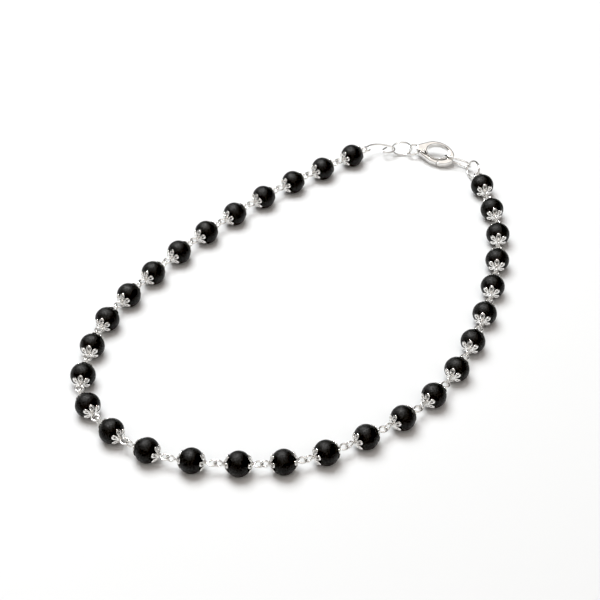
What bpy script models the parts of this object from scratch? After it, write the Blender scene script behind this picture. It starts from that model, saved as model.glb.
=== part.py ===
"""A mala: a necklace-length string of turned black wooden beads. Each bead has a silver flower cap on both
sides and sits on its own eye pin, and a lobster clasp with its links and rings joins the two ends.
Metres, +Z up. The string lies on the table at z = 0, and the clasp is at the far side, at +Y."""

import math

import bmesh
import bpy
import numpy as np
from mathutils import Matrix, Vector
from mathutils.geometry import convex_hull_2d

# Beads
BEAD_COUNT = 30
BEAD_DIAMETER = 0.0080
BEAD_LENGTH = 0.0076
BEAD_BORE = 0.0012
BEAD_SIDES = 10
BEAD_ROWS = 6

# Flower caps
CAP_PETALS = 6
CAP_GAP = 0.00015
PETAL_LIFT = 0.0002
CAP_HUB_RADIUS = 0.0012
CAP_HUB_METAL = 0.0005
PETAL_REACH = 0.0031
PETAL_WIDTH = 0.0017

# Eye pins
PIN_WIRE = 0.0006
EYE_OUTSIDE = 0.0030
EYE_BITE = 0.0001
EYE_GAP = 0.00015
EYE_CLOSING = 0.00012
EYE_STEPS = 10
PIN_SIDES = 5

# Rings and links between the string and the clasp
RING_WIRE = 0.0006
LINK_WIRE = 0.0007
LINK_GAP = 0.0003
LINK_SIDES = 5
LINK_STEPS = 14
LEFT_LINK_EYE_RADIUS = 0.00085
LEFT_LINK_ARCH = 0.0035
LEFT_HOOK_HALF = (0.00235, 0.0013)
LEFT_HOOK_TURN = math.radians(17)
LEFT_RING_WIDTH = 0.0058
RIGHT_LINK_WIDTH = 0.0044
RIGHT_LINK_STRAIGHT = 0.0056
RIGHT_RING_WIDTH = 0.0064

# Lobster clasp, in its own frame: u runs from the tail to the nose, v to the hook's back, w up
CLASP_THICKNESS = 0.0030
CLASP_TAPER = 0.28
CLASP_LENGTH = 0.0150
HEAD_CENTRE = (0.0084, 0.0002)
HEAD_HALF = (0.0065, 0.0044)
HEAD_TURN = math.radians(-12)
TAIL_CENTRE = (0.0023, 0.00045)
TAIL_RADIUS = 0.0020
EYE_OF_CLAW_CENTRE = (0.0083, 0.00085)
EYE_OF_CLAW_HALF = (0.0041, 0.0029)
EYE_OF_CLAW_TURN = math.radians(-8)
END_LOOP_CENTRE = (-0.0008, -0.0004)
END_LOOP_HALF = (0.00175, 0.00225)
END_LOOP_WIRE = 0.0007
CLASP_ROUNDING = 0.0004

# Clasp lever
PIVOT_PLACE = (0.0032, -0.00035)
PIVOT_RADIUS = 0.00035
PIVOT_CLEARANCE = 0.0001
LEVER_SEAM_RADIUS = 0.0020
LEVER_GAP = 0.0002
LEVER_INSET = 0.0002
LEVER_TONGUE = 0.0010
LEVER_HUB_RADIUS = 0.0008
LEVER_OPENING = math.radians(16)
LEVER_TIP_IN = (0.0104, -0.0010)
LEVER_TIP_OUT = (0.0088, -0.0052)
THUMB_END = 0.0017
THUMB_DROP = 0.00115
CHEEK_SLOPE = math.radians(-21)
SEAM_END = math.radians(-24)
TONGUE_START = math.radians(-68)
TONGUE_END = math.radians(-38)

# Where the clasp lies: its tail's middle, its heading over the table, and its roll towards the viewer
CLASP_PLACE = Vector((0.0422, 0.0792, 0.00435))
CLASP_HEADING = math.radians(-22)
CLASP_ROLL = math.radians(20)

# How the rings and links lie: where they hold each other, and how far each is turned about its length
LEFT_HOLD = Vector((0.0342, 0.0800, 0.0030))
RIGHT_HOLD = Vector((0.0612, 0.0704, 0.0026))
TAIL_HOLD_SIDE = 0.0001
NOSE_HOLD_SIDE = -0.0012
NOSE_HOLD_INSET = 0.0008
LEFT_LINK_TILT = math.radians(12)
LEFT_RING_TILT = math.radians(80)
RIGHT_LINK_TILT = math.radians(116)
RIGHT_RING_TILT = math.radians(60)

# The string's route over the table, through chosen beads, and how many beads lie from each to the next
STRING_ROUTE = (
    (0.0188, 0.0746, 3),
    (-0.0128, 0.0504, 3),
    (-0.0412, 0.0200, 3),
    (-0.0629, -0.0137, 2),
    (-0.0678, -0.0395, 1),
    (-0.0661, -0.0538, 2),
    (-0.0462, -0.0728, 2),
    (-0.0179, -0.0778, 2),
    (0.0078, -0.0736, 3),
    (0.0417, -0.0492, 3),
    (0.0603, -0.0110, 3),
    (0.0683, 0.0296, 2),
    (0.0647, 0.0569, 0),
)
ROUTE_FINENESS = 40

UP = Vector((0, 0, 1))


def clear_scene():
    for obj in list(bpy.data.objects):
        bpy.data.objects.remove(obj)


def material(name, colour, roughness, metallic):
    made = bpy.data.materials.new(name)
    made.use_nodes = True
    shader = made.node_tree.nodes["Principled BSDF"]
    shader.inputs["Base Color"].default_value = (*colour, 1)
    shader.inputs["Roughness"].default_value = roughness
    shader.inputs["Metallic"].default_value = metallic
    made.diffuse_color = (*colour, 1)
    return made


def new_object(name, mesh_builder, finish=None):
    """Turns a filled bmesh into a named object with its faces pointing out and round edges shaded smooth."""
    bmesh.ops.recalc_face_normals(mesh_builder, faces=mesh_builder.faces)
    if mesh_builder.calc_volume(signed=True) < 0:
        bmesh.ops.reverse_faces(mesh_builder, faces=mesh_builder.faces)
    mesh = bpy.data.meshes.new(name)
    mesh_builder.to_mesh(mesh)
    mesh_builder.free()
    obj = bpy.data.objects.new(name, mesh)
    bpy.context.scene.collection.objects.link(obj)
    if finish:
        mesh.materials.append(finish)
    mesh.shade_smooth()
    mesh.set_sharp_from_angle(angle=math.radians(50))
    return obj


def baked(obj):
    """Applies the object's modifiers, so that the helpers they use can be removed."""
    graph = bpy.context.evaluated_depsgraph_get()
    graph.update()
    mesh = bpy.data.meshes.new_from_object(obj.evaluated_get(graph))
    obj.modifiers.clear()
    obj.data = mesh
    return obj


def combined(obj, helpers, operation):
    """Joins the helpers to the object, cuts them from it or keeps what is common, and removes them."""
    for helper in helpers:
        step = obj.modifiers.new(helper.name, "BOOLEAN")
        step.operation = operation
        step.solver = "EXACT"
        step.object = helper
    baked(obj)
    for helper in helpers:
        bpy.data.objects.remove(helper)
    return obj


def skin_rings(builder, rings, closed):
    """Faces between neighbouring rings of vertices, with an end cap at both ends if the row isn't closed."""
    count = len(rings[0])
    pairs = list(zip(rings, rings[1:]))
    if closed:
        pairs.append((rings[-1], rings[0]))
    for ring, following in pairs:
        for i in range(count):
            j = (i + 1) % count
            builder.faces.new((ring[i], ring[j], following[j], following[i]))
    if not closed:
        builder.faces.new(list(reversed(rings[0])))
        builder.faces.new(rings[-1])


def wire(name, points, thickness, sides, closed, finish, side_way=None):
    """A round wire along the points. side_way is the normal of a flat path, so that its section doesn't twist."""
    builder = bmesh.new()
    rings = []
    last = len(points) - 1
    normal = None
    for i, point in enumerate(points):
        before = points[i - 1] if i > 0 or closed else point
        after = points[(i + 1) % len(points)] if i < last or closed else point
        along = (after - before).normalized()
        if side_way is not None:
            normal = side_way.copy()
        elif normal is None:
            normal = along.orthogonal()
        normal = (normal - along * normal.dot(along)).normalized()
        across = along.cross(normal)
        ring = []
        for k in range(sides):
            turn = 2 * math.pi * k / sides
            offset = (normal * math.cos(turn) + across * math.sin(turn)) * thickness / 2
            ring.append(builder.verts.new(point + offset))
        rings.append(ring)
    skin_rings(builder, rings, closed)
    return new_object(name, builder, finish)


def route_points():
    """The bead centres' route as a fine polyline, with the position of each chosen bead on it."""
    chosen = [Vector((x, y)) for x, y, _ in STRING_ROUTE]
    before = chosen[0] * 2 - chosen[1]
    after = chosen[-1] * 2 - chosen[-2]
    held = [before, *chosen, after]
    fine = []
    for a, b, c, d in zip(held, held[1:], held[2:], held[3:]):
        for step in range(ROUTE_FINENESS):
            t = step / ROUTE_FINENESS
            fine.append(
                b * 1.0
                + (c - a) * (0.5 * t)
                + (a * 2 - b * 5 + c * 4 - d) * (0.5 * t * t)
                + (b * 3 - a - c * 3 + d) * (0.5 * t * t * t)
            )
    fine.append(chosen[-1])
    return fine


def string_pivots():
    """Where neighbouring eyes cross: halfway between beads along the route, and half a pitch past both ends."""
    fine = np.array(route_points())
    steps = np.linalg.norm(np.diff(fine, axis=0), axis=1)
    travelled = np.concatenate([[0], np.cumsum(steps)])
    chosen = travelled[::ROUTE_FINENESS]
    stations = [chosen[0]]
    for (_, _, count), start, end in zip(STRING_ROUTE, chosen, chosen[1:]):
        stations.extend(start + (end - start) * (k + 1) / count for k in range(count))
    halves = [(a + b) / 2 for a, b in zip(stations, stations[1:])]
    pivots = [Vector((*(np.interp(s, travelled, fine[:, axis]) for axis in (0, 1)), 0)) for s in halves]
    first_way = (pivots[0] - pivots[1]).normalized()
    last_way = (pivots[-1] - pivots[-2]).normalized()
    first = pivots[0] + first_way * (stations[1] - stations[0])
    last = pivots[-1] + last_way * (stations[-1] - stations[-2])
    height = Vector((0, 0, BEAD_DIAMETER / 2))
    return [p + height for p in (first, *pivots, last)]


def bead_frame(start, end):
    """The bead's own frame: x along the string, y level, z up, at the middle between its two pivots."""
    along = (end - start).normalized()
    level = UP.cross(along).normalized()
    upward = along.cross(level)
    place = (start + end) / 2
    return Matrix.Translation(place) @ Matrix((along, level, upward)).transposed().to_4x4()


def bead(name, frame, finish):
    """A turned bead, a little shorter along its bore than across it."""
    radius = BEAD_DIAMETER / 2
    bore = BEAD_BORE / 2
    rim = math.asin(bore / radius)
    profile = []
    for k in range(BEAD_ROWS + 1):
        turn = rim + (math.pi - 2 * rim) * k / BEAD_ROWS
        profile.append((BEAD_LENGTH / 2 * math.cos(turn), radius * math.sin(turn)))
    builder = bmesh.new()
    rings = []
    for along, out in profile:
        ring = []
        for k in range(BEAD_SIDES):
            turn = 2 * math.pi * k / BEAD_SIDES
            ring.append(builder.verts.new(frame @ Vector((along, out * math.sin(turn), out * math.cos(turn)))))
        rings.append(ring)
    skin_rings(builder, rings, True)
    return new_object(name, builder, finish)


def cap(name, frame, side):
    """A flower cap: a hub with a petal on each side of it, flared along the bead and thin at its tip."""
    tip_radius = BEAD_DIAMETER / 2 + CAP_GAP + PETAL_LIFT
    tip_along = math.sqrt(tip_radius**2 - PETAL_REACH**2)
    hub_inside = BEAD_LENGTH / 2 + CAP_GAP
    hub_outside = hub_inside + CAP_HUB_METAL
    builder = bmesh.new()

    def corner(turn, out, along):
        return builder.verts.new(frame @ Vector((side * along, out * math.sin(turn), out * math.cos(turn))))

    step = 2 * math.pi / CAP_PETALS
    half_spread = math.asin(PETAL_WIDTH / 2 / PETAL_REACH)
    notches = [
        (corner(step * (k - 0.5), CAP_HUB_RADIUS, hub_outside), corner(step * (k - 0.5), CAP_HUB_RADIUS, hub_inside))
        for k in range(CAP_PETALS)
    ]
    builder.faces.new([outer for outer, _ in notches])
    builder.faces.new([inner for _, inner in reversed(notches)])
    for k in range(CAP_PETALS):
        outer_left, inner_left = notches[k]
        outer_right, inner_right = notches[(k + 1) % CAP_PETALS]
        tip_left = corner(step * k - half_spread, PETAL_REACH, tip_along)
        tip_right = corner(step * k + half_spread, PETAL_REACH, tip_along)
        builder.faces.new((outer_left, tip_left, tip_right, outer_right))
        builder.faces.new((inner_right, tip_right, tip_left, inner_left))
        builder.faces.new((outer_left, inner_left, tip_left))
        builder.faces.new((outer_right, tip_right, inner_right))
    return new_object(name, builder)


def eye_pin(name, frame, reaches):
    """A straight wire through the bead. The eye at its start stands upright, and the one at its end lies level."""
    radius = (EYE_OUTSIDE - PIN_WIRE) / 2
    closing = 2 * math.asin((PIN_WIRE + EYE_CLOSING) / 2 / radius)
    eyes = []
    for side, plane, reach in ((-1, Vector((0, 0, 1)), reaches[0]), (1, Vector((0, 1, 0)), reaches[1])):
        eye = []
        for k in range(EYE_STEPS + 1):
            turn = math.pi + (2 * math.pi - closing) * k / EYE_STEPS
            along = reach - radius + radius * math.cos(turn)
            eye.append(Vector((side * along, 0, 0)) + plane * radius * math.sin(turn))
        eyes.append(eye)
    path = [*reversed(eyes[0]), *eyes[1]]
    return wire(name, [frame @ p for p in path], PIN_WIRE, PIN_SIDES, False, None)


def half_string(name, pivots, finish, numbers):
    """The eye pins and caps of a stretch of beads, soldered into one chain."""
    pieces = []
    for number in numbers:
        start = pivots[number]
        end = pivots[number + 1]
        frame = bead_frame(start, end)
        holds = [EYE_GAP if number == numbers[0] else -EYE_BITE, EYE_GAP if number == numbers[-1] else -EYE_BITE]
        reaches = [(end - start).length / 2 + (PIN_WIRE + hold) / 2 for hold in holds]
        pieces.append(eye_pin(f"pin {number}", frame, reaches))
        pieces.append(cap(f"start cap {number}", frame, -1))
        pieces.append(cap(f"end cap {number}", frame, 1))
    first = pieces[0]
    first.name = name
    first.data.materials.append(finish)
    return combined(first, pieces[1:], "UNION")


def link(name, start, end, tilt, width, straight, thickness, finish):
    """A closed link that holds its neighbours at two points. tilt turns it about its length, 0 lying level.
    straight is the length of its straight sides, and its ends are half ovals."""
    long_way = (end - start).normalized()
    level = UP.cross(long_way).normalized()
    side_way = (Matrix.Rotation(tilt, 3, long_way) @ level).normalized()
    end_length = ((end - start).length + thickness + LINK_GAP - straight) / 2
    half_width = (width - thickness) / 2
    path = []
    for k in range(LINK_STEPS):
        turn = 2 * math.pi * k / LINK_STEPS
        shift = math.copysign(straight / 2, math.cos(turn)) + end_length * math.cos(turn)
        path.append((start + end) / 2 + long_way * shift + side_way * half_width * math.sin(turn))
    return wire(name, path, thickness, LINK_SIDES, True, finish, long_way.cross(side_way))


def hooked_link(name, start, end, tilt, thickness, finish):
    """A bent wire from start to end: a small eye, an arch over to the other side, and a long hook curled shut.
    tilt turns it about its length, 0 lying level."""
    long_way = (end - start).normalized()
    level = UP.cross(long_way).normalized()
    side_way = (Matrix.Rotation(tilt, 3, long_way) @ level).normalized()
    past = (thickness + LINK_GAP) / 2
    eye_centre = Vector((LEFT_LINK_EYE_RADIUS - past, 0))
    hook_way = Vector((math.cos(LEFT_HOOK_TURN), math.sin(LEFT_HOOK_TURN)))
    hook_centre = Vector(((end - start).length, 0)) + hook_way * (past - LEFT_HOOK_HALF[0])
    eye = arc(eye_centre, LEFT_LINK_EYE_RADIUS, math.radians(380), math.radians(130), EYE_STEPS)
    hook = []
    for k in range(LINK_STEPS + 1):
        turn = math.radians(30) - math.radians(292) * k / LINK_STEPS
        along = LEFT_HOOK_HALF[0] * math.cos(turn)
        across = LEFT_HOOK_HALF[1] * math.sin(turn)
        hook.append(hook_centre + hook_way * along + Vector((-hook_way.y, hook_way.x)) * across)
    rise = Vector(eye[-1]) + (Vector(eye[-1]) - Vector(eye[-2])).normalized() * LEFT_LINK_ARCH
    fall = hook[0] + (hook[0] - hook[1]).normalized() * LEFT_LINK_ARCH
    shaft = []
    for k in range(1, EYE_STEPS):
        t = k / EYE_STEPS
        shaft.append(
            Vector(eye[-1]) * (1 - t) ** 3
            + rise * (3 * t * (1 - t) ** 2)
            + fall * (3 * t * t * (1 - t))
            + hook[0] * t**3
        )
    path = [start + long_way * x + side_way * y for x, y in (*eye, *shaft, *hook)]
    return wire(name, path, thickness, LINK_SIDES, False, finish, long_way.cross(side_way))


def clasp_frame():
    heading = Matrix.Rotation(CLASP_HEADING, 4, "Z")
    roll = Matrix.Rotation(CLASP_ROLL, 4, "X")
    return Matrix.Translation(CLASP_PLACE) @ heading @ roll


def prism(name, outline, low, high, finish=None):
    """A flat plate with the outline given in the clasp's own frame."""
    builder = bmesh.new()
    rings = [[builder.verts.new((u, v, w)) for u, v in outline] for w in (low, high)]
    skin_rings(builder, rings, False)
    return new_object(name, builder, finish)


def arc(centre, radius, start, end, steps):
    turns = [start + (end - start) * k / steps for k in range(steps + 1)]
    return [(centre[0] + radius * math.cos(t), centre[1] + radius * math.sin(t)) for t in turns]


def oval(centre, half, turned, steps):
    points = []
    for k in range(steps):
        along = half[0] * math.cos(2 * math.pi * k / steps)
        across = half[1] * math.sin(2 * math.pi * k / steps)
        u = centre[0] + along * math.cos(turned) - across * math.sin(turned)
        v = centre[1] + along * math.sin(turned) + across * math.cos(turned)
        points.append((u, v))
    return points


def claw_outline():
    """The clasp seen from above: an oval head that narrows straight to a round tail."""
    points = oval(HEAD_CENTRE, HEAD_HALF, HEAD_TURN, 20) + oval(TAIL_CENTRE, (TAIL_RADIUS, TAIL_RADIUS), 0, 12)
    return [points[i] for i in convex_hull_2d(points)]


def rounded(obj, width, segments):
    step = obj.modifiers.new("rounding", "BEVEL")
    step.width = width
    step.segments = segments
    step.limit_method = "ANGLE"
    step.angle_limit = math.radians(50)
    return baked(obj)


def claw_blank(name, low, high, finish=None):
    """The claw's plate with its eye cut through and its edges rounded, thinner towards the nose."""
    blank = prism(name, claw_outline(), low, high, finish)
    opening = oval(EYE_OF_CLAW_CENTRE, EYE_OF_CLAW_HALF, EYE_OF_CLAW_TURN, 14)
    eye = prism("eye of the claw", opening, low - CLASP_ROUNDING, high + CLASP_ROUNDING)
    combined(blank, [eye], "DIFFERENCE")
    rounded(blank, CLASP_ROUNDING, 1)
    middle = -CLASP_THICKNESS / 2
    for vertex in blank.data.vertices:
        share = 1 - CLASP_TAPER * vertex.co.x / CLASP_LENGTH
        vertex.co.z = middle + (vertex.co.z - middle) * share
    return blank


def about_pivot(radius, turn):
    return arc(PIVOT_PLACE, radius, turn, turn, 1)[0]


def lever_shape(grown):
    """The lever's outline from above, open towards the eye and the near side. grown is the gap round it."""
    edge = -THUMB_DROP + grown
    slope_way = (math.cos(CHEEK_SLOPE), math.sin(CHEEK_SLOPE))
    foot = (PIVOT_PLACE[0] - edge * slope_way[1], PIVOT_PLACE[1] + edge * slope_way[0])
    thumb = THUMB_END - grown
    reach = (thumb - foot[0]) / slope_way[0]
    seam = LEVER_SEAM_RADIUS - grown
    low_turn = CHEEK_SLOPE - math.pi / 2 + math.acos(-edge / seam)
    high_turn = SEAM_END
    outer = -2 * HEAD_HALF[1]
    tip_way = Vector((LEVER_TIP_IN[0] - LEVER_TIP_OUT[0], LEVER_TIP_IN[1] - LEVER_TIP_OUT[1])).normalized()
    shift = Vector((tip_way.y, -tip_way.x)) * grown
    tip_in = Vector(LEVER_TIP_IN) + shift + tip_way * grown
    tip_out = Vector(LEVER_TIP_OUT) + shift
    return [
        (thumb, outer),
        (thumb, foot[1] + reach * slope_way[1]),
        *(about_pivot(seam, low_turn + (high_turn - low_turn) * k / 4) for k in range(5)),
        (EYE_OF_CLAW_CENTRE[0] - EYE_OF_CLAW_HALF[0] * 0.6, EYE_OF_CLAW_CENTRE[1]),
        (EYE_OF_CLAW_CENTRE[0], EYE_OF_CLAW_CENTRE[1]),
        tuple(tip_in),
        tuple(tip_out),
        (tip_out.x, outer),
    ]


def lever_sweep():
    """The lever's outline swept through its opening, with its gap, as the pocket that the body leaves free."""
    rest = lever_shape(LEVER_GAP)
    pocket = [rest[0], rest[1]]
    foot_radius = THUMB_DROP - LEVER_GAP
    low = CHEEK_SLOPE - math.pi / 2
    pocket.extend(about_pivot(foot_radius, low + LEVER_OPENING * k / 3) for k in range(4))
    seam = LEVER_SEAM_RADIUS - LEVER_GAP
    swept = low + LEVER_OPENING + math.acos(foot_radius / seam)
    high_turn = SEAM_END
    turns = [swept + (high_turn - swept) * k / 2 for k in range(3)] if swept < high_turn else [swept]
    pocket.extend(about_pivot(seam, t) for t in turns)
    return pocket + rest[7:]


def clasp_body(finish):
    body = claw_blank("clasp_body", -CLASP_THICKNESS, 0, finish)
    past = CLASP_THICKNESS
    pocket = prism("lever pocket", lever_sweep(), -CLASP_THICKNESS - past, past)
    middle = -CLASP_THICKNESS / 2
    half_slot = LEVER_TONGUE / 2 + LEVER_GAP
    slot_radius = LEVER_HUB_RADIUS + LEVER_GAP
    slot_mouth = LEVER_SEAM_RADIUS + LEVER_GAP
    slot = prism(
        "tongue slot",
        [
            *arc(PIVOT_PLACE, slot_radius, math.radians(70), math.radians(250), 8),
            about_pivot(slot_mouth, TONGUE_START - math.radians(6)),
            about_pivot(slot_mouth, TONGUE_END + LEVER_OPENING + math.radians(6)),
        ],
        middle - half_slot,
        middle + half_slot,
    )
    bore_radius = PIVOT_RADIUS + PIVOT_CLEARANCE
    bore = prism(
        "pivot bore",
        oval(PIVOT_PLACE, (bore_radius, bore_radius), 0, 10),
        -CLASP_THICKNESS - past,
        past,
    )
    combined(body, [pocket, slot, bore], "DIFFERENCE")
    loop = [Vector((u, v, middle)) for u, v in oval(END_LOOP_CENTRE, END_LOOP_HALF, 0, LINK_STEPS)]
    end_loop = wire("end loop", loop, END_LOOP_WIRE, LINK_SIDES, True, None, UP)
    combined(body, [end_loop], "UNION")
    body.data.transform(clasp_frame())
    return body


def clasp_lever(finish):
    low = -CLASP_THICKNESS + LEVER_INSET
    high = -LEVER_INSET
    lever = claw_blank("clasp_lever", low, high, finish)
    past = CLASP_THICKNESS
    keep = prism("lever outline", lever_shape(0), low - past, high + past)
    combined(lever, [keep], "INTERSECT")
    middle = -CLASP_THICKNESS / 2
    arm_root = LEVER_SEAM_RADIUS + CLASP_ROUNDING
    tongue = prism(
        "tongue",
        [
            *arc(PIVOT_PLACE, LEVER_HUB_RADIUS, math.radians(50), math.radians(250), 8),
            about_pivot(arm_root, TONGUE_START),
            about_pivot(arm_root, TONGUE_END),
        ],
        middle - LEVER_TONGUE / 2,
        middle + LEVER_TONGUE / 2,
    )
    combined(lever, [tongue], "UNION")
    bore_radius = PIVOT_RADIUS + PIVOT_CLEARANCE
    bore = prism(
        "lever bore",
        oval(PIVOT_PLACE, (bore_radius, bore_radius), 0, 10),
        low - past,
        high + past,
    )
    combined(lever, [bore], "DIFFERENCE")
    to_pivot = Matrix.Translation((PIVOT_PLACE[0], PIVOT_PLACE[1], middle))
    lever.data.transform(to_pivot.inverted())
    lever.matrix_world = clasp_frame() @ to_pivot
    return lever


def clasp_pivot(finish):
    pin = prism(
        "clasp_pivot",
        oval(PIVOT_PLACE, (PIVOT_RADIUS, PIVOT_RADIUS), 0, 10),
        -CLASP_THICKNESS,
        0,
        finish,
    )
    pin.data.transform(clasp_frame())
    return pin


def seat_on_table():
    """Moves the whole so that the middle of its underside is the origin."""
    bpy.context.view_layer.update()
    corners = []
    for obj in bpy.data.objects:
        corners.extend(obj.matrix_world @ v.co for v in obj.data.vertices)
    lows = [min(c[axis] for c in corners) for axis in range(3)]
    highs = [max(c[axis] for c in corners) for axis in range(3)]
    shift = Vector((-(lows[0] + highs[0]) / 2, -(lows[1] + highs[1]) / 2, -lows[2]))
    for obj in bpy.data.objects:
        obj.location += shift
    bpy.context.view_layer.update()


def main():
    clear_scene()
    ebony = material("black wood", (0.012, 0.011, 0.010), 0.45, 0.0)
    silver = material("silver wire", (0.86, 0.84, 0.81), 0.16, 1.0)
    polished = material("polished silver", (0.90, 0.88, 0.85), 0.10, 1.0)

    pivots = string_pivots()
    for number in range(BEAD_COUNT):
        bead(f"bead_{number + 1:02d}", bead_frame(pivots[number], pivots[number + 1]), ebony)
    half = BEAD_COUNT // 2
    half_string("chain_left", pivots, silver, range(half))
    half_string("chain_right", pivots, silver, range(half, BEAD_COUNT))

    frame = clasp_frame()
    middle = -CLASP_THICKNESS / 2
    end_of_loop = END_LOOP_CENTRE[0] - END_LOOP_HALF[0] + END_LOOP_WIRE / 2 + LINK_GAP / 2
    end_of_eye = EYE_OF_CLAW_CENTRE[0] + EYE_OF_CLAW_HALF[0] - NOSE_HOLD_INSET
    tail_hold = frame @ Vector((end_of_loop, END_LOOP_CENTRE[1] + TAIL_HOLD_SIDE, middle))
    nose_hold = frame @ Vector((end_of_eye, EYE_OF_CLAW_CENTRE[1] + NOSE_HOLD_SIDE, middle))
    clasp_body(polished)
    clasp_lever(polished)
    clasp_pivot(silver)

    hooked_link("left_link", pivots[0], LEFT_HOLD, LEFT_LINK_TILT, RING_WIRE, silver)
    link("left_ring", LEFT_HOLD, tail_hold, LEFT_RING_TILT, LEFT_RING_WIDTH, 0, RING_WIRE, silver)
    link("right_link", nose_hold, RIGHT_HOLD, RIGHT_LINK_TILT, RIGHT_LINK_WIDTH, RIGHT_LINK_STRAIGHT, LINK_WIRE, silver)
    link("right_ring", RIGHT_HOLD, pivots[-1], RIGHT_RING_TILT, RIGHT_RING_WIDTH, 0, LINK_WIRE, silver)
    seat_on_table()


main()
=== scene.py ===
"""The mala's looks: satin black wooden beads, pierced silver flower caps, linked eye pins, and the
lobster clasp with its links and rings, on a white table. Metres, in the CAD's frame."""

import math

import bmesh
import bpy
import numpy as np
from mathutils import Matrix, Vector
from mathutils.geometry import convex_hull_2d

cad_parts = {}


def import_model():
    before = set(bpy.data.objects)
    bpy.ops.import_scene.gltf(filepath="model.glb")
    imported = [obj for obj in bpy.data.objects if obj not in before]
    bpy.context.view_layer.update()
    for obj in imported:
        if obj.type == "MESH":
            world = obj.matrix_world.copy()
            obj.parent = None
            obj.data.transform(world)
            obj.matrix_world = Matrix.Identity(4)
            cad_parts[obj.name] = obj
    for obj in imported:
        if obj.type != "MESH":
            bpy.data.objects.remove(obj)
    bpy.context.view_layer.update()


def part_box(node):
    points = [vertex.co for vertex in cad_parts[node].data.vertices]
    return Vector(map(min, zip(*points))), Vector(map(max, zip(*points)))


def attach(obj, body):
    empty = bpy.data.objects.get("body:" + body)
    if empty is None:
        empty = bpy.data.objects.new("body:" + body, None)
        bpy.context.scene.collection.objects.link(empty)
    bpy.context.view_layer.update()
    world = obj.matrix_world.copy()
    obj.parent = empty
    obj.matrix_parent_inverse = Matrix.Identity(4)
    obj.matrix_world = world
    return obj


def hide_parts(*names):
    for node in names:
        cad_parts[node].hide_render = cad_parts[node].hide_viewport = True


# Beads, as in the CAD
BEAD_COUNT = 30
BEAD_DIAMETER = 0.0080
BEAD_LENGTH = 0.0076
BEAD_BORE = 0.0012
BEAD_RIM = 0.00015
BEAD_SIDES = 56
BEAD_ROWS = 30

# Flower caps, within the CAD's
CAP_PETALS = 6
CAP_GAP = 0.00015
CAP_HUB_RADIUS = 0.0012
CAP_HUB_METAL = 0.0005
CAP_COLLAR_RADIUS = 0.0006
PETAL_REACH = 0.0030
PETAL_WIDTH = 0.00195
PETAL_RIM = 0.00070
PETAL_FLATNESS = 0.56
PETAL_GAP = 0.00006
PETAL_FLOOR = 0.00014
PETAL_SLIT = 0.36
PETAL_STEPS = 30
PETAL_ROOT = 0.85
PETAL_TAPER = 0.24
CAP_GRAIN = 0.00006
CAP_SMOOTHING = 2
CAP_TRIANGLES = 0.115
HUB_SIDES = 32

# Eye pins, as in the CAD
PIN_WIRE = 0.0006
EYE_OUTSIDE = 0.0030
EYE_STEPS = 34
EYE_START = math.radians(202)
EYE_SWEEP = math.radians(322)
PIN_STUB = 0.0006
WIRE_SIDES = 14

# Rings and links, as in the CAD
RING_WIRE = 0.0006
LINK_WIRE = 0.0007
LINK_GAP = 0.0003
LINK_STEPS = 72
LEFT_LINK_EYE_RADIUS = 0.00085
LEFT_LINK_ARCH = 0.0035
LEFT_HOOK_HALF = (0.00235, 0.0013)
LEFT_HOOK_TURN = math.radians(17)
LEFT_EYE_START = math.radians(380)
LEFT_EYE_END = math.radians(130)
LEFT_HOOK_START = math.radians(30)
LEFT_HOOK_SWEEP = math.radians(292)
LEFT_RING_WIDTH = 0.0058
RIGHT_LINK_WIDTH = 0.0044
RIGHT_LINK_STRAIGHT = 0.0056
RIGHT_RING_WIDTH = 0.0064

# Lobster clasp, as in the CAD, in its own frame
CLASP_THICKNESS = 0.0030
CLASP_TAPER = 0.28
CLASP_LENGTH = 0.0150
HEAD_CENTRE = (0.0084, 0.0002)
HEAD_HALF = (0.0065, 0.0044)
HEAD_TURN = math.radians(-12)
TAIL_CENTRE = (0.0023, 0.00045)
TAIL_RADIUS = 0.0020
EYE_OF_CLAW_CENTRE = (0.0083, 0.00085)
EYE_OF_CLAW_HALF = (0.0041, 0.0029)
EYE_OF_CLAW_TURN = math.radians(-8)
END_LOOP_CENTRE = (-0.0008, -0.0004)
END_LOOP_HALF = (0.00175, 0.00225)
END_LOOP_WIRE = 0.0007
CLASP_ROUNDING = 0.00045
CLASP_GRAIN = 0.00005
CLASP_SMOOTHING = 3
CLASP_TRIANGLES = 0.2
PIN_DOME = 0.00006
PIN_HEAD_SIDES = 28
GROOVE_WIDTH = 0.00046
GROOVE_DEPTH = 0.00070
GROOVE_OFF_EYE = 0.00085
GROOVE_START = math.radians(212)
GROOVE_END = math.radians(334)

# Clasp lever, as in the CAD
PIVOT_PLACE = (0.0032, -0.00035)
PIVOT_RADIUS = 0.00035
LEVER_SEAM_RADIUS = 0.0020
LEVER_GAP = 0.0002
LEVER_INSET = 0.0002
LEVER_TONGUE = 0.0010
LEVER_HUB_RADIUS = 0.0008
LEVER_OPENING = math.radians(16)
LEVER_TIP_IN = (0.0104, -0.0010)
LEVER_TIP_OUT = (0.0088, -0.0052)
THUMB_END = 0.0017
THUMB_DROP = 0.00115
CHEEK_SLOPE = math.radians(-21)
SEAM_END = math.radians(-24)
TONGUE_START = math.radians(-68)
TONGUE_END = math.radians(-38)

CLASP_PLACE = Vector((0.0422, 0.0792, 0.00435))
CLASP_HEADING = math.radians(-22)
CLASP_ROLL = math.radians(20)

# How the rings and links lie, as in the CAD
LEFT_HOLD = Vector((0.0342, 0.0800, 0.0030))
RIGHT_HOLD = Vector((0.0612, 0.0704, 0.0026))
TAIL_HOLD_SIDE = 0.0001
NOSE_HOLD_SIDE = -0.0012
NOSE_HOLD_INSET = 0.0008
LEFT_LINK_TILT = math.radians(12)
LEFT_RING_TILT = math.radians(80)
RIGHT_LINK_TILT = math.radians(116)
RIGHT_RING_TILT = math.radians(60)

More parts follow.
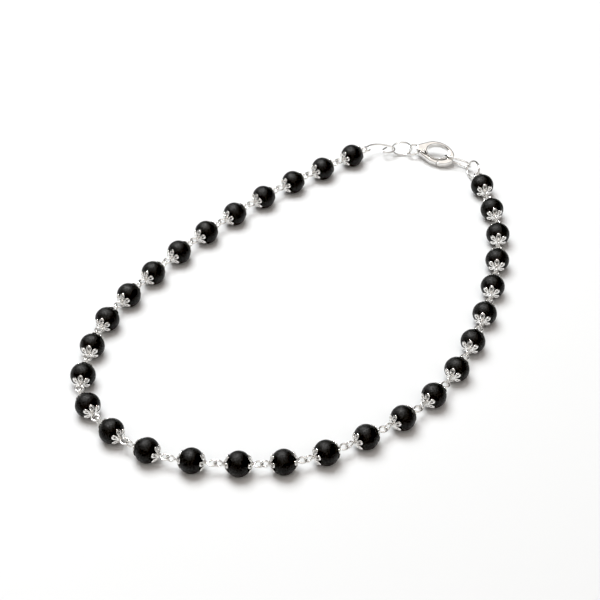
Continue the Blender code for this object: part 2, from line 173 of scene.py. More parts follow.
# The string's route over the table, as in the CAD: x, y and how many beads lie on to the next place
STRING_ROUTE = (
    (0.0188, 0.0746, 3),
    (-0.0128, 0.0504, 3),
    (-0.0412, 0.0200, 3),
    (-0.0629, -0.0137, 2),
    (-0.0678, -0.0395, 1),
    (-0.0661, -0.0538, 2),
    (-0.0462, -0.0728, 2),
    (-0.0179, -0.0778, 2),
    (0.0078, -0.0736, 3),
    (0.0417, -0.0492, 3),
    (0.0603, -0.0110, 3),
    (0.0683, 0.0296, 2),
    (0.0647, 0.0569, 0),
)
ROUTE_FINENESS = 40

# Finishes
WOOD_DARK = (0.0020, 0.0018, 0.0016)
WOOD_LIGHT = (0.014, 0.013, 0.012)
WOOD_BUMP = 0.00012
SILVER_WIRE = (0.93, 0.92, 0.90)
SILVER_CAST = (0.95, 0.94, 0.92)
SILVER_BUMP = 0.0001
# Tarnish and painted shade: the silver's colour goes dark towards this colour where ambient occlusion finds
# other surfaces within the reach. That covers its own recesses and the places next to beads, other parts and
# the table.
TARNISH_AND_PAINTED_SHADE = (0.030, 0.028, 0.026)
SHADE_AND_TARNISH_REACH = 0.0007
TABLE_COLOUR = (0.84, 0.835, 0.83)
BEAD_ROLL = 2.4

# Camera and studio
CAMERA_ELEVATION = math.radians(41.61)
CAMERA_DISTANCE = 0.5658
CAMERA_LENS = 102.2
SENSOR_WIDTH = 36
TABLE_SIZE = 4.0
BLACK_LEVEL = 0.021
SKY_COLOUR = (1.0, 0.95, 0.905)
LOW_BACK_COLOUR = (0.05, 0.048, 0.046)
LOW_FRONT_COLOUR = (0.13, 0.125, 0.12)
SKY_STRENGTH = 1.12
KEY_PLACE = (-0.20, 0.30, 0.95)
KEY_SIZE = 0.80
KEY_POWER = 10.3
KEY_COLOUR = (0.93, 0.97, 1.0)
SPARKLE_PLACE = (-0.30, 0.42, 0.86)
SPARKLE_SIZE = 0.24
SPARKLE_POWER = 11.5
SPARKLE_COLOUR = (1.0, 1.0, 1.0)

UP = Vector((0, 0, 1))
MILLIMETRES = 1000


# Materials


def new_material(name):
    made = bpy.data.materials.new(name)
    made.use_nodes = True
    nodes = made.node_tree.nodes
    return made, nodes, made.node_tree.links, nodes["Principled BSDF"]


def noise(nodes, links, place, scale, detail, roughness):
    made = nodes.new("ShaderNodeTexNoise")
    made.inputs["Scale"].default_value = scale
    made.inputs["Detail"].default_value = detail
    made.inputs["Roughness"].default_value = roughness
    links.new(place, made.inputs["Vector"])
    return made.outputs["Fac"]


def ramp(nodes, links, source, low, high, first, last):
    """Maps source from low..high to first..last, which are two numbers or two colours."""
    made = nodes.new("ShaderNodeMapRange")
    made.inputs["From Min"].default_value = low
    made.inputs["From Max"].default_value = high
    links.new(source, made.inputs["Value"])
    if isinstance(first, tuple):
        blend = nodes.new("ShaderNodeMix")
        blend.data_type = "RGBA"
        blend.inputs["A"].default_value = (*first, 1)
        blend.inputs["B"].default_value = (*last, 1)
        links.new(made.outputs["Result"], blend.inputs["Factor"])
        return blend.outputs["Result"]
    made.inputs["To Min"].default_value = first
    made.inputs["To Max"].default_value = last
    return made.outputs["Result"]


def wood_material():
    """Black stained wood: fine fibres along the bore, small pores, and a dry, dusty sheen."""
    made, nodes, links, shader = new_material("black wood")
    place = nodes.new("ShaderNodeTexCoord").outputs["Object"]
    stretch = nodes.new("ShaderNodeMapping")
    stretch.inputs["Scale"].default_value = (0.22, 1, 1)
    links.new(place, stretch.inputs["Vector"])
    fibres = noise(nodes, links, stretch.outputs["Vector"], 2200, 5, 0.65)
    pores = noise(nodes, links, place, 3600, 3, 0.6)
    clouds = noise(nodes, links, place, 2300, 3, 0.6)
    stain = ramp(nodes, links, fibres, 0.35, 0.72, WOOD_DARK, WOOD_LIGHT)
    links.new(stain, shader.inputs["Base Color"])
    links.new(ramp(nodes, links, clouds, 0.35, 0.65, 0.40, 0.56), shader.inputs["Roughness"])
    links.new(ramp(nodes, links, clouds, 0.35, 0.65, 0.46, 0.26), shader.inputs["Specular IOR Level"])
    height = nodes.new("ShaderNodeMath")
    height.operation = "ADD"
    links.new(fibres, height.inputs[0])
    links.new(pores, height.inputs[1])
    bump = nodes.new("ShaderNodeBump")
    bump.inputs["Strength"].default_value = 0.9
    bump.inputs["Distance"].default_value = WOOD_BUMP
    links.new(height.outputs["Value"], bump.inputs["Height"])
    links.new(bump.outputs["Normal"], shader.inputs["Normal"])
    return made


def silver_material(name, colour, low_roughness, high_roughness, dents):
    """Polished silver, darkened in recesses and next to other parts by tarnish and painted shade, with
    slightly uneven polish, faint scratches and small dents.
    """
    made, nodes, links, shader = new_material(name)
    place = nodes.new("ShaderNodeTexCoord").outputs["Object"]
    polish = noise(nodes, links, place, 900, 4, 0.6)
    tone = noise(nodes, links, place, 380, 2, 0.5)
    scratches = noise(nodes, links, place, 4200, 4, 0.7)
    darker = tuple(c * 0.90 for c in colour)
    shader.inputs["Metallic"].default_value = 1.0
    # Painted shade, partly tarnish: the base colour darkens where ambient occlusion finds nearby surfaces.
    # That covers recesses and the places next to beads, other parts and the table.
    painted_shade_probe = nodes.new("ShaderNodeAmbientOcclusion")
    painted_shade_probe.samples = 12
    painted_shade_probe.inputs["Distance"].default_value = SHADE_AND_TARNISH_REACH
    unshaded_share = ramp(nodes, links, painted_shade_probe.outputs["AO"], 0.14, 0.50, 0.0, 1.0)
    tarnish_and_shade = nodes.new("ShaderNodeMix")
    tarnish_and_shade.data_type = "RGBA"
    tarnish_and_shade.inputs["A"].default_value = (*TARNISH_AND_PAINTED_SHADE, 1)
    links.new(unshaded_share, tarnish_and_shade.inputs["Factor"])
    links.new(ramp(nodes, links, tone, 0.35, 0.65, darker, colour), tarnish_and_shade.inputs["B"])
    links.new(tarnish_and_shade.outputs["Result"], shader.inputs["Base Color"])
    links.new(ramp(nodes, links, polish, 0.3, 0.7, low_roughness, high_roughness), shader.inputs["Roughness"])
    height = nodes.new("ShaderNodeMath")
    height.operation = "MULTIPLY_ADD"
    height.inputs[1].default_value = 0.15
    links.new(scratches, height.inputs[0])
    links.new(tone, height.inputs[2])
    bump = nodes.new("ShaderNodeBump")
    bump.inputs["Strength"].default_value = dents
    bump.inputs["Distance"].default_value = SILVER_BUMP
    links.new(height.outputs["Value"], bump.inputs["Height"])
    links.new(bump.outputs["Normal"], shader.inputs["Normal"])
    return made


# Meshes: each is a pair of lists, its corners and its faces


def merged(parts):
    corners = []
    faces = []
    for some_corners, some_faces in parts:
        start = len(corners)
        corners.extend(some_corners)
        faces.extend(tuple(start + i for i in face) for face in some_faces)
    return corners, faces


def placed(part, frame_matrix):
    corners, faces = part
    return [frame_matrix @ c for c in corners], faces


def new_object(name, part, finish=None):
    mesh = bpy.data.meshes.new(name)
    mesh.from_pydata(part[0], [], part[1])
    builder = bmesh.new()
    builder.from_mesh(mesh)
    bmesh.ops.recalc_face_normals(builder, faces=builder.faces)
    builder.to_mesh(mesh)
    builder.free()
    obj = bpy.data.objects.new(name, mesh)
    bpy.context.scene.collection.objects.link(obj)
    if finish:
        mesh.materials.append(finish)
    mesh.shade_smooth()
    return obj


def baked(obj):
    graph = bpy.context.evaluated_depsgraph_get()
    graph.update()
    mesh = bpy.data.meshes.new_from_object(obj.evaluated_get(graph))
    obj.modifiers.clear()
    obj.data = mesh
    return obj


def combined(obj, helpers, operation):
    for helper in helpers:
        step = obj.modifiers.new(helper.name, "BOOLEAN")
        step.operation = operation
        step.solver = "EXACT"
        step.object = helper
    baked(obj)
    for helper in helpers:
        bpy.data.objects.remove(helper)
    return obj


def cast(obj, grain, smoothing, kept):
    """Melts the object's pieces into one soft skin. grain is its mesh size, kept the share that is left."""
    obj.data.transform(Matrix.Scale(MILLIMETRES, 4))
    skin = obj.modifiers.new("skin", "REMESH")
    skin.mode = "VOXEL"
    skin.voxel_size = grain * MILLIMETRES
    soften = obj.modifiers.new("soften", "SMOOTH")
    soften.factor = 0.5
    soften.iterations = smoothing
    thin = obj.modifiers.new("thin", "DECIMATE")
    thin.ratio = kept
    baked(obj)
    obj.data.transform(Matrix.Scale(1 / MILLIMETRES, 4))
    obj.data.shade_smooth()
    return obj


def part_of(obj):
    """The object's mesh as corners and faces. The object is removed."""
    part = [v.co.copy() for v in obj.data.vertices], [tuple(p.vertices) for p in obj.data.polygons]
    bpy.data.objects.remove(obj)
    return part


def wire(points, thickness, closed, normals=None, sides=WIRE_SIDES, flatness=1.0):
    """A wire along the points, with domed ends if it is open. flatness under 1 thins it along its normals."""
    points = list(points)
    radii = [thickness / 2] * len(points)
    if not closed:
        start_way = (points[0] - points[1]).normalized()
        end_way = (points[-1] - points[-2]).normalized()
        for share, reach in ((0.8, 0.3), (0.4, 0.46)):
            points.insert(0, points[0] + start_way * thickness * reach * 0.5)
            points.append(points[-1] + end_way * thickness * reach * 0.5)
            radii.insert(0, thickness / 2 * share)
            radii.append(thickness / 2 * share)
    count = len(points)
    corners = []
    faces = []
    normal = None
    for i, point in enumerate(points):
        before = points[i - 1] if i > 0 or closed else point
        after = points[(i + 1) % count] if i < count - 1 or closed else point
        along = (after - before).normalized()
        if normals:
            normal = normals[i]
        elif normal is None:
            normal = along.orthogonal()
        normal = (normal - along * normal.dot(along)).normalized()
        across = along.cross(normal)
        for k in range(sides):
            turn = 2 * math.pi * k / sides
            corners.append(point + (normal * flatness * math.cos(turn) + across * math.sin(turn)) * radii[i])
    for i in range(count if closed else count - 1):
        j = (i + 1) % count
        for k in range(sides):
            m = (k + 1) % sides
            faces.append((i * sides + k, i * sides + m, j * sides + m, j * sides + k))
    if not closed:
        faces.append(tuple(reversed(range(sides))))
        faces.append(tuple(range((count - 1) * sides, count * sides)))
    return corners, faces


def turned(profile, sides):
    """A closed profile of (along, out) pairs turned about the x axis."""
    corners = []
    faces = []
    count = len(profile)
    for along, out in profile:
        for k in range(sides):
            turn = 2 * math.pi * k / sides
            corners.append(Vector((along, out * math.sin(turn), out * math.cos(turn))))
    for i in range(count):
        j = (i + 1) % count
        for k in range(sides):
            m = (k + 1) % sides
            faces.append((i * sides + k, i * sides + m, j * sides + m, j * sides + k))
    return corners, faces


# The string's route, worked out as in the CAD


def string_pivots():
    """Where neighbouring eyes cross: halfway between beads, and half a pitch past both ends."""
    chosen = [Vector((x, y)) for x, y, _ in STRING_ROUTE]
    held = [chosen[0] * 2 - chosen[1], *chosen, chosen[-1] * 2 - chosen[-2]]
    fine = []
    for a, b, c, d in zip(held, held[1:], held[2:], held[3:]):
        for step in range(ROUTE_FINENESS):
            t = step / ROUTE_FINENESS
            fine.append(
                b * 1.0
                + (c - a) * (0.5 * t)
                + (a * 2 - b * 5 + c * 4 - d) * (0.5 * t * t)
                + (b * 3 - a - c * 3 + d) * (0.5 * t * t * t)
            )
    fine.append(chosen[-1])
    fine = np.array(fine)
    steps = np.linalg.norm(np.diff(fine, axis=0), axis=1)
    travelled = np.concatenate([[0], np.cumsum(steps)])
    marks = travelled[::ROUTE_FINENESS]
    stations = [marks[0]]
    for (_, _, count), start, end in zip(STRING_ROUTE, marks, marks[1:]):
        stations.extend(start + (end - start) * (k + 1) / count for k in range(count))
    halves = [(a + b) / 2 for a, b in zip(stations, stations[1:])]
    pivots = [Vector((*(np.interp(s, travelled, fine[:, axis]) for axis in (0, 1)), 0)) for s in halves]
    first = pivots[0] + (pivots[0] - pivots[1]).normalized() * (stations[1] - stations[0])
    last = pivots[-1] + (pivots[-1] - pivots[-2]).normalized() * (stations[-1] - stations[-2])
    height = Vector((0, 0, BEAD_DIAMETER / 2))
    return [p + height for p in (first, *pivots, last)]


def bead_frame(start, end):
    along = (end - start).normalized()
    level = UP.cross(along).normalized()
    upward = along.cross(level)
    return Matrix.Translation((start + end) / 2) @ Matrix((along, level, upward)).transposed().to_4x4()


# Beads, caps and pins


def bead_part():
    radius = BEAD_DIAMETER / 2
    bore = BEAD_BORE / 2
    rim = math.asin((bore + BEAD_RIM) / radius)
    profile = []
    for k in range(BEAD_ROWS + 1):
        turn = rim + (math.pi - 2 * rim) * k / BEAD_ROWS
        profile.append((BEAD_LENGTH / 2 * math.cos(turn), radius * math.sin(turn)))
    face = profile[0][0]
    for share in (0.55, 0.12):
        profile.append((-face + BEAD_RIM * (0.35 - 0.35 * share), bore + BEAD_RIM * share))
    profile.append((-face + BEAD_RIM, bore))
    profile.append((face - BEAD_RIM, bore))
    for share in (0.12, 0.55):
        profile.append((face - BEAD_RIM * (0.35 - 0.35 * share), bore + BEAD_RIM * share))
    return turned(profile, BEAD_SIDES)


def petal_path(turned_by, lift, share):
    """A petal's drop-shaped outline on the bead, and the way out from the bead at each of its points."""
    half_width = (PETAL_WIDTH - PETAL_RIM) / 2
    tip = PETAL_REACH - PETAL_RIM / 2
    root = CAP_HUB_RADIUS * PETAL_ROOT
    middle = (tip + root) / 2
    clear = PETAL_GAP + lift
    points = []
    for k in range(PETAL_STEPS):
        turn = 2 * math.pi * k / PETAL_STEPS
        reach = middle + 0.12 * (1 - share) * (tip - middle) + share * (tip - middle) * math.cos(turn)
        side = share * half_width * math.sin(turn) * (1 - PETAL_TAPER + PETAL_TAPER * math.cos(turn))
        from_axis = math.hypot(side, reach) / (BEAD_DIAMETER / 2 + clear)
        along = (BEAD_LENGTH / 2 + clear) * math.sqrt(1 - from_axis**2)
        points.append(Matrix.Rotation(turned_by, 3, "X") @ Vector((along, side, reach)))
    return points, [p.normalized() for p in points]


def petal_floor(turned_by):
    """The thin sunk plate inside a petal's rim, with its slit."""
    rings = []
    under = 0.00005
    for lift, share in (
        (under, 1.0),
        (under + PETAL_FLOOR, 1.0),
        (PETAL_FLOOR, PETAL_SLIT),
        (under * 0.4, PETAL_SLIT),
    ):
        rings.append(petal_path(turned_by, lift, share)[0])
    corners = [p for ring in rings for p in ring]
    faces = []
    for i in range(4):
        j = (i + 1) % 4
        for k in range(PETAL_STEPS):
            m = (k + 1) % PETAL_STEPS
            faces.append((i * PETAL_STEPS + k, i * PETAL_STEPS + m, j * PETAL_STEPS + m, j * PETAL_STEPS + k))
    return corners, faces


def cap_part():
    """The flower cap that sits at the bead's end at +x."""
    pieces = []
    for k in range(CAP_PETALS):
        turned_by = 2 * math.pi * k / CAP_PETALS
        points, ways = petal_path(turned_by, PETAL_RIM * PETAL_FLATNESS / 2, 1.0)
        pieces.append(new_object("petal rim", wire(points, PETAL_RIM, True, ways, 12, PETAL_FLATNESS)))
        pieces.append(new_object("petal floor", petal_floor(turned_by)))
    inside = BEAD_LENGTH / 2 + CAP_GAP
    outside = inside + CAP_HUB_METAL
    hub = [
        (inside - 0.00012, CAP_HUB_RADIUS),
        (outside - 0.00026, CAP_HUB_RADIUS * 0.98),
        (outside - 0.00010, CAP_HUB_RADIUS * 0.80),
        (outside - 0.00004, CAP_COLLAR_RADIUS),
        (outside + 0.00014, CAP_COLLAR_RADIUS * 0.92),
        (outside + 0.00016, PIN_WIRE * 0.3),
        (inside, PIN_WIRE * 0.3),
        (inside, CAP_HUB_RADIUS * 0.7),
    ]
    pieces.append(new_object("hub", turned(hub, HUB_SIDES)))
    whole = new_object("cap", merged([part_of(p) for p in pieces]))
    return part_of(cast(whole, CAP_GRAIN, CAP_SMOOTHING, CAP_TRIANGLES))


def eye_points(centre, plane, side):
    """A round eye, from where its wire leaves the pin to where it nearly closes."""
    radius = (EYE_OUTSIDE - PIN_WIRE) / 2
    points = []
    for k in range(EYE_STEPS + 1):
        turn = EYE_START + EYE_SWEEP * k / EYE_STEPS
        along = side * (centre + radius * math.cos(turn))
        points.append(Vector((along, 0, 0)) + plane * radius * math.sin(turn))
    return points


def pin_part(length):
    """The eye pin: the eye at its start stands upright, and the one at its end lies level."""
    centre = (length + PIN_WIRE) / 2 - (EYE_OUTSIDE - PIN_WIRE) / 2
    start = BEAD_LENGTH / 2
    upright = eye_points(centre, Vector((0, 0, 1)), -1)
    level = eye_points(centre, Vector((0, 1, 0)), 1)
    shaft = [Vector((x, 0, 0)) for x in (-start - PIN_STUB, -start, 0, start, start + PIN_STUB)]
    return wire([*reversed(upright), *shaft, *level], PIN_WIRE, False)


# Rings, links and the clasp


def link_part(start, end, tilt, width, straight, thickness):
    """A closed link that holds its neighbours at two points, worked out as in the CAD."""
    long_way = (end - start).normalized()
    level = UP.cross(long_way).normalized()
    side_way = (Matrix.Rotation(tilt, 3, long_way) @ level).normalized()
    end_length = ((end - start).length + thickness + LINK_GAP - straight) / 2
    half_width = (width - thickness) / 2
    path = []
    for k in range(LINK_STEPS):
        turn = 2 * math.pi * (k + 0.5) / LINK_STEPS
        shift = math.copysign(straight / 2, math.cos(turn)) + end_length * math.cos(turn)
        path.append((start + end) / 2 + long_way * shift + side_way * half_width * math.sin(turn))
    normal = long_way.cross(side_way)
    return wire(path, thickness, True, [normal] * len(path))


def hooked_link_part(start, end):
    """The left link, worked out as in the CAD: a small eye, an arch over, and a long hook curled shut."""
    long_way = (end - start).normalized()
    level = UP.cross(long_way).normalized()
    side_way = (Matrix.Rotation(LEFT_LINK_TILT, 3, long_way) @ level).normalized()
    past = (RING_WIRE + LINK_GAP) / 2
    eye_centre = Vector((LEFT_LINK_EYE_RADIUS - past, 0))
    hook_way = Vector((math.cos(LEFT_HOOK_TURN), math.sin(LEFT_HOOK_TURN)))
    hook_centre = Vector(((end - start).length, 0)) + hook_way * (past - LEFT_HOOK_HALF[0])
    eye = [Vector(p) for p in arc(eye_centre, LEFT_LINK_EYE_RADIUS, LEFT_EYE_START, LEFT_EYE_END, EYE_STEPS)]
    hook = []
    for k in range(LINK_STEPS + 1):
        turn = LEFT_HOOK_START - LEFT_HOOK_SWEEP * k / LINK_STEPS
        along = LEFT_HOOK_HALF[0] * math.cos(turn)
        across = LEFT_HOOK_HALF[1] * math.sin(turn)
        hook.append(hook_centre + hook_way * along + Vector((-hook_way.y, hook_way.x)) * across)
    rise = eye[-1] + (eye[-1] - eye[-2]).normalized() * LEFT_LINK_ARCH
    fall = hook[0] + (hook[0] - hook[1]).normalized() * LEFT_LINK_ARCH
    shaft = []
    for k in range(1, EYE_STEPS):
        t = k / EYE_STEPS
        near = eye[-1] * (1 - t) ** 3 + rise * (3 * t * (1 - t) ** 2)
        far = fall * (3 * t * t * (1 - t)) + hook[0] * t**3
        shaft.append(near + far)
    path = [start + long_way * x + side_way * y for x, y in (*eye, *shaft, *hook)]
    normal = long_way.cross(side_way)
    return wire(path, RING_WIRE, False, [normal] * (len(path) + 4))


def clasp_frame():
    heading = Matrix.Rotation(CLASP_HEADING, 4, "Z")
    roll = Matrix.Rotation(CLASP_ROLL, 4, "X")
    return Matrix.Translation(CLASP_PLACE) @ heading @ roll


def prism(name, outline, low, high):
    count = len(outline)
    corners = [Vector((u, v, w)) for w in (low, high) for u, v in outline]
    faces = [tuple(range(count)), tuple(range(2 * count - 1, count - 1, -1))]
    faces.extend((i, (i + 1) % count, count + (i + 1) % count, count + i) for i in range(count))
    return new_object(name, (corners, faces))


def arc(centre, radius, start, end, steps):
    turns = [start + (end - start) * k / steps for k in range(steps + 1)]
    return [(centre[0] + radius * math.cos(t), centre[1] + radius * math.sin(t)) for t in turns]


def oval(centre, half, turned_by, steps):
    points = []
    for k in range(steps):
        along = half[0] * math.cos(2 * math.pi * k / steps)
        across = half[1] * math.sin(2 * math.pi * k / steps)
        u = centre[0] + along * math.cos(turned_by) - across * math.sin(turned_by)
        v = centre[1] + along * math.sin(turned_by) + across * math.cos(turned_by)
        points.append((u, v))
    return points


def about_pivot(radius, turn):
    return arc(PIVOT_PLACE, radius, turn, turn, 1)[0]


def claw_blank(name, low, high):
    """The claw's plate with its eye cut through and its edges rounded, thinner towards the nose."""
    points = oval(HEAD_CENTRE, HEAD_HALF, HEAD_TURN, 96)
    points += oval(TAIL_CENTRE, (TAIL_RADIUS, TAIL_RADIUS), 0, 48)
    blank = prism(name, [points[i] for i in convex_hull_2d(points)], low, high)
    opening = oval(EYE_OF_CLAW_CENTRE, EYE_OF_CLAW_HALF, EYE_OF_CLAW_TURN, 72)
    eye = prism("eye of the claw", opening, low - CLASP_ROUNDING, high + CLASP_ROUNDING)
    combined(blank, [eye], "DIFFERENCE")
    rounding = blank.modifiers.new("rounding", "BEVEL")
    rounding.width = CLASP_ROUNDING
    rounding.segments = 4
    rounding.limit_method = "ANGLE"
    rounding.angle_limit = math.radians(50)
    baked(blank)
    middle = -CLASP_THICKNESS / 2
    for vertex in blank.data.vertices:
        share = 1 - CLASP_TAPER * vertex.co.x / CLASP_LENGTH
        vertex.co.z = middle + (vertex.co.z - middle) * share
    return blank


def groove_cutter():
    """A bent blade that cuts the line along the claw's near side, between its top and its outer edge."""
    half = (EYE_OF_CLAW_HALF[0] + GROOVE_OFF_EYE, EYE_OF_CLAW_HALF[1] + GROOVE_OFF_EYE)
    deepened = 2 * GROOVE_DEPTH / GROOVE_WIDTH
    points = []
    for k in range(LINK_STEPS + 1):
        turn = GROOVE_START + (GROOVE_END - GROOVE_START) * k / LINK_STEPS
        u, v = half[0] * math.cos(turn), half[1] * math.sin(turn)
        lean = EYE_OF_CLAW_TURN
        place = Vector((u * math.cos(lean) - v * math.sin(lean), u * math.sin(lean) + v * math.cos(lean), 0))
        place += Vector((*EYE_OF_CLAW_CENTRE, 0))
        place.z = -CLASP_THICKNESS / 2 * CLASP_TAPER * place.x / CLASP_LENGTH
        points.append(place)
    return new_object("groove", wire(points, GROOVE_WIDTH, False, [UP] * (len(points) + 4), 12, deepened))


def lever_shape(grown):
    """The lever's outline from above, open towards the eye and the near side. grown is the gap round it."""
    edge = -THUMB_DROP + grown
    slope_way = (math.cos(CHEEK_SLOPE), math.sin(CHEEK_SLOPE))
    foot = (PIVOT_PLACE[0] - edge * slope_way[1], PIVOT_PLACE[1] + edge * slope_way[0])
    thumb = THUMB_END - grown
    reach = (thumb - foot[0]) / slope_way[0]
    seam = LEVER_SEAM_RADIUS - grown
    low_turn = CHEEK_SLOPE - math.pi / 2 + math.acos(-edge / seam)
    outer = -2 * HEAD_HALF[1]
    tip_way = Vector((LEVER_TIP_IN[0] - LEVER_TIP_OUT[0], LEVER_TIP_IN[1] - LEVER_TIP_OUT[1])).normalized()
    shift = Vector((tip_way.y, -tip_way.x)) * grown
    tip_in = Vector(LEVER_TIP_IN) + shift + tip_way * grown
    tip_out = Vector(LEVER_TIP_OUT) + shift
    return [
        (thumb, outer),
        (thumb, foot[1] + reach * slope_way[1]),
        *(about_pivot(seam, low_turn + (SEAM_END - low_turn) * k / 4) for k in range(5)),
        (EYE_OF_CLAW_CENTRE[0] - EYE_OF_CLAW_HALF[0] * 0.6, EYE_OF_CLAW_CENTRE[1]),
        (EYE_OF_CLAW_CENTRE[0], EYE_OF_CLAW_CENTRE[1]),
        tuple(tip_in),
        tuple(tip_out),
        (tip_out.x, outer),
    ]


def lever_sweep():
    """The lever's outline swept through its opening, with its gap: the pocket that the body leaves free."""
    rest = lever_shape(LEVER_GAP)
    pocket = [rest[0], rest[1]]
    foot_radius = THUMB_DROP - LEVER_GAP
    low = CHEEK_SLOPE - math.pi / 2
    pocket.extend(about_pivot(foot_radius, low + LEVER_OPENING * k / 3) for k in range(4))
    seam = LEVER_SEAM_RADIUS - LEVER_GAP
    swept = low + LEVER_OPENING + math.acos(foot_radius / seam)
    turns = [swept + (SEAM_END - swept) * k / 2 for k in range(3)] if swept < SEAM_END else [swept]
    pocket.extend(about_pivot(seam, t) for t in turns)
    return pocket + rest[7:]


def clasp_body():
    body = claw_blank("clasp body", -CLASP_THICKNESS, 0)
    past = CLASP_THICKNESS
    pocket = prism("lever pocket", lever_sweep(), -CLASP_THICKNESS - past, past)
    middle = -CLASP_THICKNESS / 2
    half_slot = LEVER_TONGUE / 2 + LEVER_GAP
    slot_radius = LEVER_HUB_RADIUS + LEVER_GAP
    slot_mouth = LEVER_SEAM_RADIUS + LEVER_GAP
    slot = prism(
        "tongue slot",
        [
            *arc(PIVOT_PLACE, slot_radius, math.radians(70), math.radians(250), 24),
            about_pivot(slot_mouth, TONGUE_START - math.radians(6)),
            about_pivot(slot_mouth, TONGUE_END + LEVER_OPENING + math.radians(6)),
        ],
        middle - half_slot,
        middle + half_slot,
    )
    combined(body, [pocket, slot, groove_cutter()], "DIFFERENCE")
    loop = [Vector((u, v, middle)) for u, v in oval(END_LOOP_CENTRE, END_LOOP_HALF, 0, 64)]
    end_loop = new_object("end loop", wire(loop, END_LOOP_WIRE, True, [UP] * len(loop)))
    body = new_object("cast_clasp_body", merged([part_of(body), part_of(end_loop)]))
    cast(body, CLASP_GRAIN, CLASP_SMOOTHING, CLASP_TRIANGLES)
    return body


def clasp_lever():
    low = -CLASP_THICKNESS + LEVER_INSET
    high = -LEVER_INSET
    lever = claw_blank("clasp lever", low, high)
    keep = prism("lever outline", lever_shape(0), low - CLASP_THICKNESS, high + CLASP_THICKNESS)
    combined(lever, [keep], "INTERSECT")
    combined(lever, [groove_cutter()], "DIFFERENCE")
    middle = -CLASP_THICKNESS / 2
    arm_root = LEVER_SEAM_RADIUS + CLASP_ROUNDING
    tongue = prism(
        "tongue",
        [
            *arc(PIVOT_PLACE, LEVER_HUB_RADIUS, math.radians(50), math.radians(250), 24),
            about_pivot(arm_root, TONGUE_START),
            about_pivot(arm_root, TONGUE_END),
        ],
        middle - LEVER_TONGUE / 2,
        middle + LEVER_TONGUE / 2,
    )
    lever = new_object("cast_clasp_lever", merged([part_of(lever), part_of(tongue)]))
    cast(lever, CLASP_GRAIN, CLASP_SMOOTHING, CLASP_TRIANGLES)
    return lever


def clasp_pin():
    """The pivot pin, with both ends riveted into low domes."""
    radius = PIVOT_RADIUS
    dome = PIN_DOME
    profile = [
        (-CLASP_THICKNESS - dome, radius * 0.35),
        (-CLASP_THICKNESS - dome * 0.4, radius * 0.85),
        (-CLASP_THICKNESS + dome, radius),
        (-dome, radius),
        (dome * 0.4, radius * 0.85),
        (dome, radius * 0.35),
    ]
    sides = PIN_HEAD_SIDES
    corners = []
    for height, out in profile:
        for k in range(sides):
            turn = 2 * math.pi * k / sides
            u = PIVOT_PLACE[0] + out * math.cos(turn)
            v = PIVOT_PLACE[1] + out * math.sin(turn)
            corners.append(Vector((u, v, height)))
    faces = [tuple(range(sides)), tuple(range(len(corners) - sides, len(corners)))]
    for i in range(len(profile) - 1):
        for k in range(sides):
            m = (k + 1) % sides
            faces.append((i * sides + k, i * sides + m, (i + 1) * sides + m, (i + 1) * sides + k))
    return corners, faces


def add_piece(obj, finish, slot_name, body, *nodes):
    obj.data.materials.clear()
    obj.data.materials.append(finish)
    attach(obj, body)
    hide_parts(*nodes)


# Studio


def add_light(name, place, target, size, power, colour):
    lamp = bpy.data.lights.new(name, "AREA")
    lamp.shape = "DISK"
    lamp.size = size
    lamp.energy = power
    lamp.color = colour
    obj = bpy.data.objects.new(name, lamp)
    bpy.context.scene.collection.objects.link(obj)
    obj.location = place
    obj.rotation_euler = (Vector(target) - Vector(place)).to_track_quat("-Z", "Y").to_euler()
    return obj


def add_world():
    """A studio that is pale overhead and behind the camera, and dark low down, most of all at the back."""
    world = bpy.data.worlds.new("studio")
    bpy.context.scene.world = world
    world.use_nodes = True
    nodes = world.node_tree.nodes
    links = world.node_tree.links
    place = nodes.new("ShaderNodeTexCoord").outputs["Generated"]
    split = nodes.new("ShaderNodeSeparateXYZ")
    links.new(place, split.inputs["Vector"])
    back = ramp(nodes, links, split.outputs["Z"], 0.80, 0.98, LOW_BACK_COLOUR, SKY_COLOUR)
    front = ramp(nodes, links, split.outputs["Z"], 0.25, 0.75, LOW_FRONT_COLOUR, SKY_COLOUR)
    side = nodes.new("ShaderNodeMapRange")
    side.interpolation_type = "SMOOTHSTEP"
    side.inputs["From Min"].default_value = -0.6
    side.inputs["From Max"].default_value = 0.0
    links.new(split.outputs["Y"], side.inputs["Value"])
    blend = nodes.new("ShaderNodeMix")
    blend.data_type = "RGBA"
    links.new(side.outputs["Result"], blend.inputs["Factor"])
    links.new(front, blend.inputs["A"])
    links.new(back, blend.inputs["B"])
    links.new(blend.outputs["Result"], nodes["Background"].inputs["Color"])
    nodes["Background"].inputs["Strength"].default_value = SKY_STRENGTH


def add_table():
    half = TABLE_SIZE / 2
    corners = [Vector((x, y, 0)) for x, y in ((-half, -half), (half, -half), (half, half), (-half, half))]
    finish, _, _, shader = new_material("white table")
    shader.inputs["Base Color"].default_value = (*TABLE_COLOUR, 1)
    shader.inputs["Roughness"].default_value = 0.7
    shader.inputs["Specular IOR Level"].default_value = 0.2
    table = new_object("table", (corners, [(0, 1, 2, 3)]), finish)


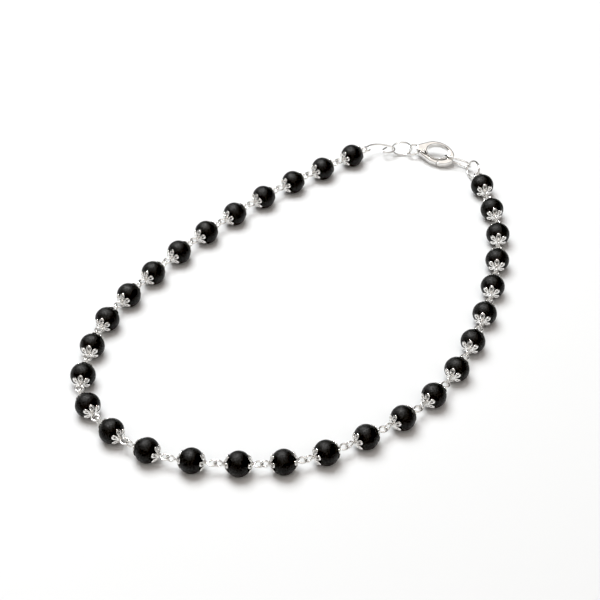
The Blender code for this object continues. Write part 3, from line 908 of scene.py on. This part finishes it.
def main():
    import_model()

    wood = wood_material()
    silver = silver_material("silver wire", SILVER_WIRE, 0.16, 0.26, 0.05)
    bright = silver_material("cast silver", SILVER_CAST, 0.06, 0.14, 0.05)

    pivots = string_pivots()
    low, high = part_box("bead_01")
    seat = (Vector(low) + Vector(high)) / 2 - (pivots[0] + pivots[1]) / 2
    pivots = [p + seat for p in pivots]
    seated = Matrix.Translation(seat)

    bead = bead_part()
    for number in range(BEAD_COUNT):
        node = f"bead_{number + 1:02d}"
        piece = new_object(f"turned_bead_{number + 1:02d}", bead)
        roll = Matrix.Rotation(BEAD_ROLL * number, 4, "X")
        piece.matrix_world = bead_frame(pivots[number], pivots[number + 1]) @ roll
        add_piece(piece, wood, "black wood", "string", node)

    cap = cap_part()
    opposite = Matrix.Rotation(math.pi, 4, "Z")
    half = BEAD_COUNT // 2
    for name, node, numbers in (
        ("left_half_of_string", "chain_left", range(half)),
        ("right_half_of_string", "chain_right", range(half, BEAD_COUNT)),
    ):
        parts = []
        for number in numbers:
            start = pivots[number]
            end = pivots[number + 1]
            place = bead_frame(start, end)
            parts.append(placed(pin_part((end - start).length), place))
            for side in (Matrix.Identity(4), opposite):
                parts.append(placed(cap, place @ side))
        add_piece(new_object(name, merged(parts)), silver, "silver", "string", node)

    clasp_place = seated @ clasp_frame()
    middle = -CLASP_THICKNESS / 2
    end_of_loop = END_LOOP_CENTRE[0] - END_LOOP_HALF[0] + END_LOOP_WIRE / 2 + LINK_GAP / 2
    end_of_eye = EYE_OF_CLAW_CENTRE[0] + EYE_OF_CLAW_HALF[0] - NOSE_HOLD_INSET
    tail_hold = clasp_place @ Vector((end_of_loop, END_LOOP_CENTRE[1] + TAIL_HOLD_SIDE, middle))
    nose_hold = clasp_place @ Vector((end_of_eye, EYE_OF_CLAW_CENTRE[1] + NOSE_HOLD_SIDE, middle))
    left_hold = LEFT_HOLD + seat
    right_hold = RIGHT_HOLD + seat
    left_ring = link_part(left_hold, tail_hold, LEFT_RING_TILT, LEFT_RING_WIDTH, 0, RING_WIRE)
    right_link = link_part(
        nose_hold, right_hold, RIGHT_LINK_TILT, RIGHT_LINK_WIDTH, RIGHT_LINK_STRAIGHT, LINK_WIRE
    )
    right_ring = link_part(right_hold, pivots[-1], RIGHT_RING_TILT, RIGHT_RING_WIDTH, 0, LINK_WIRE)
    for name, node, part in (
        ("hooked_left_link", "left_link", hooked_link_part(pivots[0], left_hold)),
        ("open_left_ring", "left_ring", left_ring),
        ("oval_right_link", "right_link", right_link),
        ("round_right_ring", "right_ring", right_ring),
    ):
        add_piece(new_object(name, part), silver, "silver", "string", node)

    for piece, body, node in (
        (clasp_body(), "string", "clasp_body"),
        (clasp_lever(), "lever", "clasp_lever"),
        (new_object("riveted_pin", clasp_pin()), "string", "clasp_pivot"),
    ):
        piece.matrix_world = clasp_place
        add_piece(piece, bright, "silver", body, node)

    add_table()
    add_world()
    key = add_light("key", KEY_PLACE, (0, 0, 0), KEY_SIZE, KEY_POWER, KEY_COLOUR)
    key.visible_glossy = False
    sparkle = add_light("sparkle", SPARKLE_PLACE, (0, 0, 0), SPARKLE_SIZE, SPARKLE_POWER, SPARKLE_COLOUR)
    sparkle.visible_diffuse = False

    camera = bpy.data.cameras.new("camera")
    camera.lens = CAMERA_LENS
    camera.sensor_width = SENSOR_WIDTH
    camera.clip_start = 0.01
    eye = bpy.data.objects.new("camera", camera)
    bpy.context.scene.collection.objects.link(eye)
    back = CAMERA_DISTANCE * math.cos(CAMERA_ELEVATION)
    eye.location = (seat.x, seat.y - back, CAMERA_DISTANCE * math.sin(CAMERA_ELEVATION))
    eye.rotation_euler = (math.pi / 2 - CAMERA_ELEVATION, 0, 0)
    bpy.context.scene.camera = eye
    view = bpy.context.scene.view_settings
    view.view_transform = "Standard"
    view.use_curve_mapping = True
    view.curve_mapping.black_level = (BLACK_LEVEL, BLACK_LEVEL, BLACK_LEVEL)


main()
